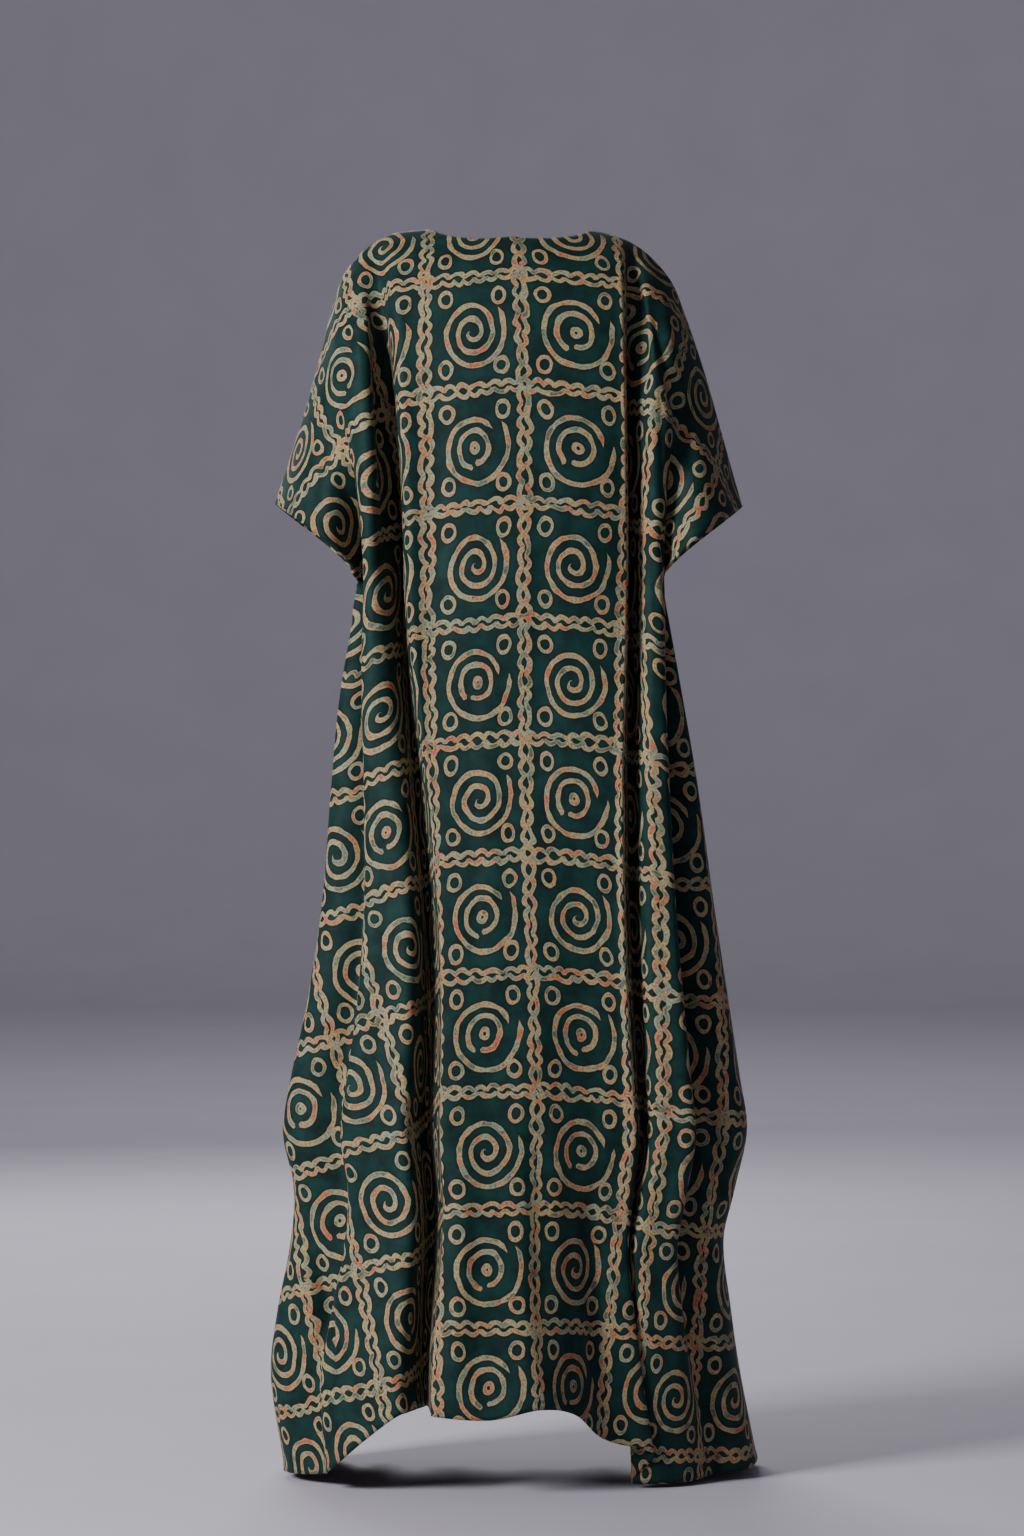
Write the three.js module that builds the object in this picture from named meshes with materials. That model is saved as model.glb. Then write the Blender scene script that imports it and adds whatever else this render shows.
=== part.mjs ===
// A maxi kaftan of printed batik cotton, hollow and hanging as it does on its wearer.
// Two panels make it, a back and a front, each cut in one with its half of both sleeves.
// They are sewn along the shoulders and the tops of the sleeves, and down both sides
// below the sleeve ends. Neck, sleeve ends and hem are open.
//
// Millimetres, +Z up. The wearer faces -Y, and +X is the wearer's left.
// The origin is on the wearer's shoulder line, midway between the shoulders.

import * as THREE from "three";

// ---------- driving sizes ----------

const CLOTH = 1.5; // thickness of a panel's wall
const SEAM_GAP = 0.36; // clearance between the two panels along a seam
const FLOOR = -1566; // the floor under the wearer's feet
const UNDERARM = -425; // where the side seams start, at the lower end of the sleeve openings
const NECK_HALF_WIDTH = 100;
const NECK_DROP_BACK = 0.13; // how far down the neck is cut, as a share of shoulder to underarm
const NECK_DROP_FRONT = 0.36;
const RING_SQUARENESS = 0.8; // 1 is an ellipse, and less is flatter at back and front
const FOLD_TURN = 3; // how late round the side a fold turns from facing back to facing sideways
const SEGMENTS = 3; // facets between two fold lines
const UPPER_ROWS = 11; // rows of facets from shoulder to underarm
const LOWER_ROWS = 16; // and from underarm to hem
const UPPER_ROW_GROWTH = 1.25; // rows are closer together over the shoulder

// The seam along the shoulders and the tops of the sleeves, by distance along the cloth
// from the middle: how far out and how high it runs on the left and on the right. swell
// and fall are how strongly the cloth sets off backwards (or forwards) and down from
// there, and inward how strongly towards the body.
const OVERARM = [
  { cloth: 0, left: 0, leftUp: 45, right: 0, rightUp: 45, forward: -4, swell: 440, fall: 110, inward: 0 },
  {
    cloth: 100, left: 100, leftUp: 34, right: 98, rightUp: 33,
    forward: -4, swell: 430, fall: 140, inward: 0,
  },
  {
    cloth: 164, left: 163, leftUp: 24, right: 156, rightUp: 14,
    forward: -4, swell: 410, fall: 190, inward: 10,
  },
  {
    cloth: 226, left: 208, leftUp: -14, right: 199, rightUp: -27,
    forward: 0, swell: 380, fall: 220, inward: 40,
  },
  {
    cloth: 275, left: 227, leftUp: -59, right: 219, rightUp: -71,
    forward: 6, swell: 400, fall: 210, inward: 60,
  },
  {
    cloth: 357, left: 248, leftUp: -138, right: 246, rightUp: -149,
    forward: 16, swell: 470, fall: 170, inward: 80,
  },
  {
    cloth: 441, left: 272, leftUp: -219, right: 270, rightUp: -232,
    forward: 26, swell: 540, fall: 130, inward: 100,
  },
  {
    cloth: 540, left: 304, leftUp: -314, right: 295, rightUp: -318,
    forward: 36, swell: 580, fall: 90, inward: 110,
  },
];
const FRONT_SWELL = 0.86; // the chest is set off less steeply than the back
const CUFF_TUCK = 260; // how strongly the sleeve opening turns in again at the underarm
const CUFF_START = 420; // how far along the cloth from the middle that turning in begins
const CUFF_RUN = 100; // and over what width of cloth it grows
const CUFF_SLACK = 0.3; // how much less straight down the cloth arrives at the underarm there

// Plain sections of the skirt, without its folds: half widths to the wearer's left and
// right, depths to the back and front, and how far forward the side seams run.
const SECTIONS = [
  { name: "underarm", z: -425, left: 193, right: 188, back: 116, front: 130, forward: 0 },
  { name: "waist", z: -560, left: 216, right: 215, back: 112, front: 124, forward: 0 },
  { name: "hip", z: -680, left: 227, right: 237, back: 122, front: 128, forward: 4 },
  { name: "thigh", z: -830, left: 239, right: 258, back: 134, front: 140, forward: 10 },
  { name: "above knee", z: -960, left: 260, right: 278, back: 142, front: 152, forward: 18 },
  { name: "knee", z: -1050, left: 280, right: 292, back: 148, front: 160, forward: 28 },
  { name: "knee bulge", z: -1115, left: 290, right: 301, back: 152, front: 165, forward: 34 },
  { name: "below knee", z: -1190, left: 276, right: 286, back: 156, front: 170, forward: 42 },
  { name: "calf", z: -1260, left: 281, right: 272, back: 159, front: 175, forward: 52 },
  { name: "shin", z: -1350, left: 299, right: 282, back: 163, front: 181, forward: 66 },
  { name: "ankle", z: -1430, left: 308, right: 294, back: 167, front: 186, forward: 80 },
  { name: "hem", z: -1550, left: 292, right: 318, back: 172, front: 192, forward: 100 },
];

// The levels at which the folds are given, as a share of the way from underarm to hem.
// Above the underarm the shares are negative, down to -1 on the shoulder seam.
const FOLD_LEVELS = { shoulder: -1, blade: -0.5, underarm: 0, hip: 0.25, knee: 0.62, hem: 1 };

// Fold lines from the left side seam to the right one. across is where the line runs
// (to the left) at underarm, hip, knee and hem. out is how far it stands off the
// plain section at blade, underarm, hip, knee and hem: a ridge is plus and a valley minus.
// hem is the height of the cut edge above the floor.
const BACK_FOLDS = [
  { name: "left side seam", cloth: 540, across: [193, 229, 290, 292], out: [0, 0, 0, 0, 0], hem: 10 },
  { name: "left side ridge", cloth: 450, across: [191, 222, 276, 282], out: [0, 2, 5, 8, 6], hem: 10 },
  {
    name: "left side valley", cloth: 370, across: [186, 192, 226, 240],
    out: [-8, -24, -30, -36, -14], hem: 18,
  },
  { name: "left outer ridge", cloth: 310, across: [179, 182, 210, 228], out: [10, 14, 12, 12, 8], hem: 26 },
  { name: "left side face", cloth: 250, across: [169, 162, 172, 180], out: [20, 24, 14, 10, 8], hem: 70 },
  { name: "left middle ridge", cloth: 205, across: [158, 138, 133, 132], out: [-2, 0, 4, 12, 8], hem: 108 },
  {
    name: "left inner valley", cloth: 180, across: [147, 120, 110, 104],
    out: [-52, -68, -58, -72, -84], hem: 112,
  },
  { name: "left panel lip", cloth: 155, across: [132, 107, 92, 95], out: [2, 6, -2, 4, 0], hem: 110 },
  { name: "left panel edge", cloth: 128, across: [105, 95, 84, 88], out: [0, 0, 2, 14, 18], hem: 108 },
  { name: "left panel", cloth: 64, across: [46, 39, 28, 26], out: [0, 0, 0, 6, 8], hem: 104 },
  { name: "middle", cloth: 0, across: [-14, -18, -31, -37], out: [0, 0, 0, 2, 4], hem: 116 },
  { name: "right panel", cloth: -64, across: [-72, -78, -88, -84], out: [0, 0, 0, -16, -34], hem: 104 },
  {
    name: "right panel border", cloth: -128, across: [-130, -128, -136, -120],
    out: [0, 2, 2, -18, -66], hem: 68,
  },
  {
    name: "right panel edge", cloth: -145, across: [-146, -141, -158, -186],
    out: [0, 0, 4, -14, -56], hem: 46,
  },
  {
    name: "right inner valley", cloth: -165, across: [-157, -152, -166, -154],
    out: [-48, -62, -58, -68, -100], hem: 10,
  },
  {
    name: "right middle ridge", cloth: -190, across: [-165, -166, -178, -180],
    out: [4, 4, 4, -10, -76], hem: 6,
  },
  {
    name: "right side face", cloth: -240, across: [-173, -182, -204, -226],
    out: [18, 20, 16, 4, -56], hem: 6,
  },
  {
    name: "right outer ridge", cloth: -300, across: [-181, -196, -228, -254],
    out: [8, 14, 14, 12, -50], hem: 8,
  },
  {
    name: "right side valley", cloth: -370, across: [-183, -202, -236, -276],
    out: [-10, -26, -30, -36, -46], hem: 10,
  },
  {
    name: "right side ridge", cloth: -450, across: [-186, -228, -278, -304],
    out: [0, 4, 6, 8, -10], hem: 12,
  },
  { name: "right side seam", cloth: -540, across: [-188, -242, -302, -318], out: [0, 0, 0, 0, 0], hem: 18 },
];
const FRONT_FOLDS = [
  { name: "left side seam", cloth: 540, across: [193, 229, 290, 292], out: [0, 0, 0, 0, 0], hem: 10 },
  { name: "left side ridge", cloth: 450, across: [190, 222, 278, 282], out: [0, 4, 6, 8, 8], hem: 10 },
  {
    name: "left side valley", cloth: 370, across: [185, 206, 252, 258],
    out: [-10, -26, -32, -34, -24], hem: 12,
  },
  { name: "left outer ridge", cloth: 310, across: [177, 192, 228, 234], out: [12, 14, 12, 14, 16], hem: 20 },
  {
    name: "left outer valley", cloth: 250, across: [162, 168, 198, 206],
    out: [-36, -48, -46, -44, -42], hem: 36,
  },
  { name: "left middle ridge", cloth: 205, across: [146, 146, 168, 178], out: [8, 10, 14, 20, 24], hem: 54 },
  {
    name: "left inner valley", cloth: 180, across: [130, 124, 138, 146],
    out: [-14, -30, -38, -48, -50], hem: 66,
  },
  { name: "left panel lip", cloth: 155, across: [117, 108, 112, 116], out: [2, 0, 0, -2, -4], hem: 70 },
  { name: "left panel edge", cloth: 128, across: [100, 92, 92, 94], out: [0, 2, 8, 16, 20], hem: 74 },
  { name: "left panel", cloth: 64, across: [50, 46, 42, 42], out: [0, 0, 0, -6, -12], hem: 80 },
  { name: "middle", cloth: 0, across: [0, 0, -4, -6], out: [0, 0, 2, 6, 10], hem: 84 },
  { name: "right panel", cloth: -64, across: [-50, -48, -52, -56], out: [0, 0, 0, 0, -6], hem: 80 },
  { name: "right panel edge", cloth: -128, across: [-98, -93, -100, -106], out: [0, 2, 6, 12, 16], hem: 74 },
  { name: "right panel lip", cloth: -145, across: [-112, -108, -118, -126], out: [2, 2, 2, 0, -2], hem: 68 },
  {
    name: "right inner valley", cloth: -165, across: [-126, -123, -140, -150],
    out: [-16, -34, -42, -52, -54], hem: 62,
  },
  {
    name: "right middle ridge", cloth: -190, across: [-144, -148, -172, -184],
    out: [8, 10, 14, 18, 20], hem: 50,
  },
  {
    name: "right outer valley", cloth: -240, across: [-161, -174, -206, -216],
    out: [-38, -46, -44, -42, -42], hem: 34,
  },
  {
    name: "right outer ridge", cloth: -300, across: [-174, -198, -238, -252],
    out: [12, 14, 12, 12, 14], hem: 20,
  },
  {
    name: "right side valley", cloth: -370, across: [-181, -216, -264, -280],
    out: [-10, -26, -32, -34, -26], hem: 12,
  },
  { name: "right side ridge", cloth: -450, across: [-186, -234, -290, -306], out: [0, 4, 6, 8, 8], hem: 14 },
  { name: "right side seam", cloth: -540, across: [-188, -242, -302, -318], out: [0, 0, 0, 0, 0], hem: 18 },
];

// ---------- curves through the tables ----------

// A smooth curve through the points (places[i], values[i]), read at one place.
function through(places, values, place) {
  const last = places.length - 1;
  const at = Math.min(Math.max(place, places[0]), places[last]);
  let i = 0;
  while (i < last - 1 && at > places[i + 1]) i++;
  const slope = (a, b) => (values[b] - values[a]) / (places[b] - places[a]);
  const span = places[i + 1] - places[i];
  const t = (at - places[i]) / span;
  const start = slope(Math.max(i - 1, 0), i + 1) * span;
  const end = slope(i, Math.min(i + 2, last)) * span;
  return hermite(values[i], start, values[i + 1], end, t);
}

// The cubic from one value to another that leaves and arrives at the given rates.
function hermite(from, leaving, to, arriving, t) {
  const left = 1 - t;
  return (
    from * (1 + 2 * t) * left * left +
    leaving * t * left * left +
    to * t * t * (3 - 2 * t) -
    arriving * t * t * left
  );
}

// One named column of a table, read at a place along the table's key column.
function column(table, key, name, place) {
  return through(
    table.map((row) => row[key]),
    table.map((row) => row[name]),
    place,
  );
}

const DOWNWARD_SECTIONS = SECTIONS.map((row) => ({ ...row, down: -row.z }));
const section = (name, z) => column(DOWNWARD_SECTIONS, "down", name, -z);
const overarm = (name, cloth) => column(OVERARM, "cloth", name, Math.abs(cloth));
const SKIRT_LEVELS = [FOLD_LEVELS.underarm, FOLD_LEVELS.hip, FOLD_LEVELS.knee, FOLD_LEVELS.hem];

// ---------- one strand of cloth, from the shoulder seam to the hem ----------

// A strand between two fold lines: place counts fold lines from the left side seam.
function strandAt(folds, place) {
  const order = folds.map((_, i) => i);
  const read = (pick) => through(order, folds.map(pick), place);
  const across = SKIRT_LEVELS.map((_, n) => read((fold) => fold.across[n]));
  const outBelowShoulder = folds[0].out.map((_, n) => read((fold) => fold.out[n]));
  return {
    cloth: read((fold) => fold.cloth),
    hem: FLOOR + read((fold) => fold.hem),
    across: (share) => through(SKIRT_LEVELS, across, share),
    out: (share) => through(Object.values(FOLD_LEVELS), [0, ...outBelowShoulder], share),
  };
}

// A point of the skirt: facing is 1 on the back panel and -1 on the front one.
function skirtPoint(strand, facing, share) {
  const z = UNDERARM + (strand.hem - UNDERARM) * Math.max(share, 0);
  const x = strand.across(Math.max(share, 0));
  const halfWidth = section(x > 0 ? "left" : "right", z);
  const depth = section(facing > 0 ? "back" : "front", z);
  const side = Math.min(Math.abs(x) / halfWidthOfFolds(x, share), 1);
  const turn = Math.asin(Math.pow(side, 1 / RING_SQUARENESS));
  const foldTurn = Math.pow(turn / (Math.PI / 2), FOLD_TURN) * (Math.PI / 2);
  const out = strand.out(share);
  return new THREE.Vector3(
    Math.sign(x) * (side * halfWidth + out * Math.sin(foldTurn)),
    facing * (Math.pow(Math.cos(turn), RING_SQUARENESS) * depth + out * Math.cos(foldTurn)) -
      section("forward", z) * side * side,
    z,
  );
}

// The across value of the side seam at this level, which is where the section's half width is.
function halfWidthOfFolds(x, share) {
  const seam = BACK_FOLDS[x > 0 ? 0 : BACK_FOLDS.length - 1];
  return Math.abs(through(SKIRT_LEVELS, seam.across, Math.max(share, 0)));
}

// A point above the underarm, where the strand runs from the overarm seam to the skirt.
function yokePoint(strand, facing, share) {
  const s = share + 1;
  const cloth = strand.cloth;
  const side = Math.sign(cloth);
  const arm = cloth < 0 ? "right" : "left";
  const from = new THREE.Vector3(
    side * overarm(arm, cloth),
    -overarm("forward", cloth),
    overarm(`${arm}Up`, cloth),
  );
  const plain = { ...strand, out: () => 0 };
  const to = skirtPoint(plain, facing, 0);
  const length = from.distanceTo(to);
  const cuff = Math.max(0, (Math.abs(cloth) - CUFF_START) / CUFF_RUN);
  const swell = overarm("swell", cloth) * (facing > 0 ? 1 : FRONT_SWELL);
  const leaving = new THREE.Vector3(
    -side * overarm("inward", cloth),
    facing * swell,
    -overarm("fall", cloth),
  );
  const arriving = new THREE.Vector3(
    0,
    -facing * CUFF_TUCK * cuff,
    -length * (1 - CUFF_SLACK * cuff),
  );
  const point = new THREE.Vector3(
    hermite(from.x, leaving.x, to.x, arriving.x, s),
    hermite(from.y, leaving.y, to.y, arriving.y, s),
    hermite(from.z, leaving.z, to.z, arriving.z, s),
  );
  const folded = skirtPoint({ ...strand, out: () => strand.out(share) }, facing, 0).sub(to);
  return point.add(folded);
}

const clothPoint = (strand, facing, share) =>
  share < 0 ? yokePoint(strand, facing, share) : skirtPoint(strand, facing, share);

// How far down its strand the cloth starts: at the seam, or lower where the neck is cut out.
function neckline(strand, facing) {
  const inNeck = 1 - (strand.cloth / NECK_HALF_WIDTH) ** 2;
  const drop = facing > 0 ? NECK_DROP_BACK : NECK_DROP_FRONT;
  return -1 + drop * Math.sqrt(Math.max(inNeck, 0));
}

// ---------- panels ----------

// The outside of a panel as rows of points: strands from the left side to the right, each
// from its top edge to the hem.
function panelGrid(folds, facing) {
  const strands = (folds.length - 1) * SEGMENTS;
  const grid = [];
  for (let i = 0; i <= strands; i++) {
    const strand = strandAt(folds, i / SEGMENTS);
    const top = neckline(strand, facing);
    const points = [];
    for (let j = 0; j < UPPER_ROWS; j++) {
      const share = top * (1 - Math.pow(j / UPPER_ROWS, UPPER_ROW_GROWTH));
      points.push(clothPoint(strand, facing, share));
    }
    for (let j = 0; j <= LOWER_ROWS; j++) {
      points.push(clothPoint(strand, facing, j / LOWER_ROWS));
    }
    grid.push(points);
  }
  return grid;
}

const cornerKey = (point) => point.toArray().map((v) => v.toFixed(2)).join(" ");

// Adds each facet's normal to its corners, which two panels share along a seam.
function addNormals(normals, grid, facing) {
  for (let i = 0; i + 1 < grid.length; i++) {
    for (let j = 0; j + 1 < grid[i].length; j++) {
      const corners = [grid[i][j], grid[i][j + 1], grid[i + 1][j + 1], grid[i + 1][j]];
      const normal = new THREE.Vector3().crossVectors(
        new THREE.Vector3().subVectors(corners[2], corners[0]),
        new THREE.Vector3().subVectors(corners[3], corners[1]),
      );
      normal.multiplyScalar(facing);
      for (const corner of corners) {
        const key = cornerKey(corner);
        const sum = normals.get(key) ?? new THREE.Vector3();
        normals.set(key, sum.add(normal));
      }
    }
  }
}

// Moves a grid's seam edges back from the seam, so that two panels don't touch.
function openSeams(grid, topIsSeam) {
  const last = grid.length - 1;
  const opened = grid.map((points) => points.map((point) => point.clone()));
  const pull = (i, j, towards) => {
    const back = new THREE.Vector3().subVectors(towards, grid[i][j]).setLength(SEAM_GAP / 2);
    opened[i][j].add(back);
  };
  for (let i = 0; i <= last; i++) {
    if (topIsSeam(i)) pull(i, 0, grid[i][1]);
  }
  for (let j = UPPER_ROWS; j < grid[0].length; j++) {
    pull(0, j, grid[1][j]);
    pull(last, j, grid[last - 1][j]);
  }
  return opened;
}

// A panel's wall: the outer grid, the same grid set in by the cloth's thickness, and the
// cut edges between them.
function wall(outer, inner, facing) {
  const width = outer.length;
  const height = outer[0].length;
  const points = [...outer.flat(), ...inner.flat()];
  const out = (i, j) => i * height + j;
  const inn = (i, j) => width * height + out(i, j);
  const faces = [];
  const quad = (a, b, c, d) => {
    if (facing > 0) faces.push(a, b, c, a, c, d);
    else faces.push(a, c, b, a, d, c);
  };
  for (let i = 0; i + 1 < width; i++) {
    for (let j = 0; j + 1 < height; j++) {
      quad(out(i, j), out(i, j + 1), out(i + 1, j + 1), out(i + 1, j));
      quad(inn(i, j), inn(i + 1, j), inn(i + 1, j + 1), inn(i, j + 1));
    }
    quad(out(i, 0), out(i + 1, 0), inn(i + 1, 0), inn(i, 0));
    quad(out(i + 1, height - 1), out(i, height - 1), inn(i, height - 1), inn(i + 1, height - 1));
  }
  for (let j = 0; j + 1 < height; j++) {
    quad(out(0, j + 1), out(0, j), inn(0, j), inn(0, j + 1));
    quad(out(width - 1, j), out(width - 1, j + 1), inn(width - 1, j + 1), inn(width - 1, j));
  }
  const geometry = new THREE.BufferGeometry();
  const coordinates = points.flatMap((point) => point.toArray());
  geometry.setAttribute("position", new THREE.Float32BufferAttribute(coordinates, 3));
  geometry.setIndex(faces);
  geometry.computeVertexNormals();
  return geometry;
}

function makePanel(name, grid, normals, facing, topIsSeam) {
  const inner = grid.map((points) =>
    points.map((point) => {
      const inward = normals.get(cornerKey(point)).clone().normalize().multiplyScalar(-CLOTH);
      return point.clone().add(inward);
    }),
  );
  const geometry = wall(openSeams(grid, topIsSeam), openSeams(inner, topIsSeam), facing);
  const cotton = new THREE.MeshStandardMaterial({ color: 0x1b4640, roughness: 0.85, metalness: 0 });
  const mesh = new THREE.Mesh(geometry, cotton);
  mesh.name = name;
  return mesh;
}

const backGrid = panelGrid(BACK_FOLDS, 1);
const frontGrid = panelGrid(FRONT_FOLDS, -1);
const normals = new Map();
addNormals(normals, backGrid, 1);
addNormals(normals, frontGrid, -1);

// Whether a strand's top edge is in the shoulder seam, and not in the open neck.
const sewnOnTop = (folds) => (i) => neckline(strandAt(folds, i / SEGMENTS), 1) === -1;

const kaftan = new THREE.Group();
kaftan.add(makePanel("back_panel", backGrid, normals, 1, sewnOnTop(BACK_FOLDS)));
kaftan.add(makePanel("front_panel", frontGrid, normals, -1, sewnOnTop(FRONT_FOLDS)));

export default kaftan;
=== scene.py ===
import math

import bmesh
import bpy
import numpy as np
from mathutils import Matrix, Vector


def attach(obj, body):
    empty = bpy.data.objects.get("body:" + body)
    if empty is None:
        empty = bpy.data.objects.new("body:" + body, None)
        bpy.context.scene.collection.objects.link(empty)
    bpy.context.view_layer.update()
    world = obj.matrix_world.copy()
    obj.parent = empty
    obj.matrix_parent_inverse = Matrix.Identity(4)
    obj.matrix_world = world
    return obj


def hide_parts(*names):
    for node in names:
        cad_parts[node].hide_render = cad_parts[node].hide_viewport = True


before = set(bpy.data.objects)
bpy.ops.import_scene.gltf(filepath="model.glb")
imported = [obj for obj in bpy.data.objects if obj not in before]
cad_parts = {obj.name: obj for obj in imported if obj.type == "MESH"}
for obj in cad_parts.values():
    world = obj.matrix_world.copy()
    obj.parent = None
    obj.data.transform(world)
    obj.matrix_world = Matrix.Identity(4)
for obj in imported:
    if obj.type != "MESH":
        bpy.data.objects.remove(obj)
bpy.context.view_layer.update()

MM = 0.001  # sizes are in millimetres, and metres where a comment says so


# ---------------------------------------------------------------------------
# The room: a plain pale floor that sweeps up far behind into a plain wall all
# round, and soft light from large lamps, the strongest from the wearer's left.
# The camera stands behind the wearer, level with the hips.
# ---------------------------------------------------------------------------

FLOOR_LEVEL = -1566
CAMERA_DISTANCE = 5980
CAMERA_LEVEL = -653
PICTURE_LONG_SIDE = 1536
FOCAL_PIXELS = 4683
SENSOR_LONG_SIDE = 36.0
FAR_CLIP = 200
ROOM_LIGHT = 0.2


def colour(hex_code):
    """An sRGB hex colour as the linear values that Blender's sockets hold."""
    channels = [int(hex_code[i:i + 2], 16) / 255 for i in (1, 3, 5)]
    linear = [c / 12.92 if c <= 0.04045 else ((c + 0.055) / 1.055) ** 2.4 for c in channels]
    return (*linear, 1.0)


def add(tree, kind, *inputs, named=None, stops=None, **settings):
    """Adds a node with its settings. An input is a number, a vector or a colour, another node whose
    first output it takes, or a socket. The stops of a colour ramp are places with their colours."""
    made = tree.nodes.new("ShaderNode" + kind)
    for name, value in settings.items():
        setattr(made, name, value)
    if stops:
        elements = made.color_ramp.elements
        for position, _ in stops[1:-1]:
            elements.new(position)
        for element, (position, hex_code) in zip(elements, stops):
            element.position = position
            element.color = colour(hex_code)
    for socket, value in [*enumerate(inputs), *(named or {}).items()]:
        if isinstance(value, bpy.types.Node):
            value = value.outputs[0]
        if isinstance(value, bpy.types.NodeSocket):
            tree.links.new(value, made.inputs[socket])
        else:
            made.inputs[socket].default_value = value
    return made


def new_material(name):
    material = bpy.data.materials.new(name)
    material.use_nodes = True
    material.node_tree.nodes.clear()
    return material, material.node_tree


# Painted floor: matt, with a barely visible mottle from the roller.
floor_paint, tree = new_material("matt floor paint")
place = add(tree, "TexCoord").outputs["Object"]
mottle = add(tree, "TexNoise", named={"Vector": place, "Scale": 3.0, "Detail": 3.0})
tone = add(tree, "ValToRGB", mottle.outputs["Fac"], stops=[(0.0, "#BDB9C6"), (1.0, "#C6C2CE")])
paint = add(tree, "BsdfPrincipled", named={"Base Color": tone, "Roughness": 0.85})
add(tree, "OutputMaterial", paint)

# In metres. The floor is flat to its radius, and then sweeps up into the wall.
FLOOR_RINGS = (0.0, 1.0, 2.0, 4.0, 7.0)
FLOOR_RADIUS = 12.0
SWEEP_RADIUS = 4.0
SWEEP_STEPS = 12
WALL_TOP = 8.0
WALL_SIDES = 96

bm = bmesh.new()
profile = [(out, 0.0) for out in FLOOR_RINGS]
for step in range(SWEEP_STEPS + 1):
    bend = math.pi / 2 * step / SWEEP_STEPS
    profile.append((FLOOR_RADIUS + SWEEP_RADIUS * math.sin(bend), SWEEP_RADIUS * (1 - math.cos(bend))))
profile.append((FLOOR_RADIUS + SWEEP_RADIUS, WALL_TOP))
spokes = [bm.verts.new((out, 0, up + FLOOR_LEVEL * MM)) for out, up in profile]
edges = [bm.edges.new(pair) for pair in zip(spokes, spokes[1:])]
bmesh.ops.spin(
    bm, geom=spokes + edges, cent=(0, 0, 0), axis=(0, 0, 1), angle=2 * math.pi,
    steps=WALL_SIDES, use_merge=True,
)
bmesh.ops.remove_doubles(bm, verts=bm.verts, dist=0.001)
for face in bm.faces:
    face.smooth = True
floor_mesh = bpy.data.meshes.new("floor")
bm.to_mesh(floor_mesh)
bm.free()
floor_mesh.materials.append(floor_paint)
floor = bpy.data.objects.new("floor", floor_mesh)
bpy.context.collection.objects.link(floor)

world = bpy.data.worlds.new("studio")
bpy.context.scene.world = world
world.use_nodes = True
world.node_tree.nodes["Background"].inputs["Color"].default_value = colour("#D8D3DE")
world.node_tree.nodes["Background"].inputs["Strength"].default_value = ROOM_LIGHT

LAMPS = [
    # name, place, aimed at, size (all in metres), watts
    ("key lamp", (3.3, 3.1, 0.95), (0.0, 0.0, -0.85), 1.3, 300),
    ("fill lamp", (-2.2, 4.0, 0.2), (0.0, 0.0, -0.8), 2.2, 3),
    ("front lamp", (0.9, -3.8, 1.4), (0.0, 0.0, -0.7), 2.4, 120),
    ("backdrop lamp", (0.0, -4.5, 3.6), (0.0, -14.0, 0.4), 3.0, 165),
]
for name, at, target, size, watts in LAMPS:
    lamp = bpy.data.lights.new(name, "AREA")
    lamp.size = size
    lamp.energy = watts
    holder = bpy.data.objects.new(name, lamp)
    holder.location = at
    holder.rotation_euler = (Vector(target) - Vector(at)).to_track_quat("-Z", "Y").to_euler()
    bpy.context.collection.objects.link(holder)

camera = bpy.data.cameras.new("camera")
camera.sensor_width = SENSOR_LONG_SIDE
camera.lens = FOCAL_PIXELS * SENSOR_LONG_SIDE / PICTURE_LONG_SIDE
camera.clip_end = FAR_CLIP
eye = bpy.data.objects.new("camera", camera)
eye.location = (0, CAMERA_DISTANCE * MM, CAMERA_LEVEL * MM)
eye.rotation_euler = (math.pi / 2, 0, math.pi)
bpy.context.collection.objects.link(eye)
bpy.context.scene.camera = eye


# ---------------------------------------------------------------------------
# Back panel: batik cotton, cut in one with the back of both sleeves and hung
# from the shoulders. It falls in a flat middle and deep uneven folds at the
# sides, and its neck, sleeve ends and hem are turned in narrowly and stitched.
# ---------------------------------------------------------------------------

UNDERARM = -425
NECK_HALF_WIDTH = 100
NECK_DROP = {"back": 0.13, "front": 0.36}
RING_SQUARENESS = 0.8
FOLD_TURN = 3
FRONT_SWELL = 0.86
CUFF_TUCK = 260
CUFF_STARTS = 420
CUFF_RUN = 100
CUFF_SLACK = 0.3
CLOTH_THICKNESS = 0.6
STRANDS_PER_FOLD = 10
UPPER_ROWS = 40
UPPER_ROW_GROWTH = 1.15
LOWER_ROWS = 100
TURNED_IN = 7

OVERARM_COLUMNS = ("cloth", "left", "leftUp", "right", "rightUp", "forward", "swell", "fall", "inward")
OVERARM = [
    (0, 0, 45, 0, 45, -4, 440, 110, 0),
    (100, 100, 34, 98, 33, -4, 430, 140, 0),
    (164, 163, 24, 156, 14, -4, 410, 190, 10),
    (226, 208, -14, 199, -27, 0, 380, 220, 40),
    (275, 227, -59, 219, -71, 6, 400, 210, 60),
    (357, 248, -138, 246, -149, 16, 470, 170, 80),
    (441, 272, -219, 270, -232, 26, 540, 130, 100),
    (540, 304, -314, 295, -318, 36, 580, 90, 110),
]

SECTION_COLUMNS = ("down", "left", "right", "back", "front", "forward")
SECTIONS = [
    (425, 193, 188, 116, 130, 0),
    (560, 216, 215, 112, 124, 0),
    (680, 227, 237, 122, 128, 4),
    (830, 239, 258, 134, 140, 10),
    (960, 260, 278, 142, 152, 18),
    (1050, 280, 292, 148, 160, 28),
    (1115, 290, 301, 152, 165, 34),
    (1190, 276, 286, 156, 170, 42),
    (1260, 281, 272, 159, 175, 52),
    (1350, 299, 282, 163, 181, 66),
    (1430, 308, 294, 167, 186, 80),
    (1550, 292, 318, 172, 192, 100),
]

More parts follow.
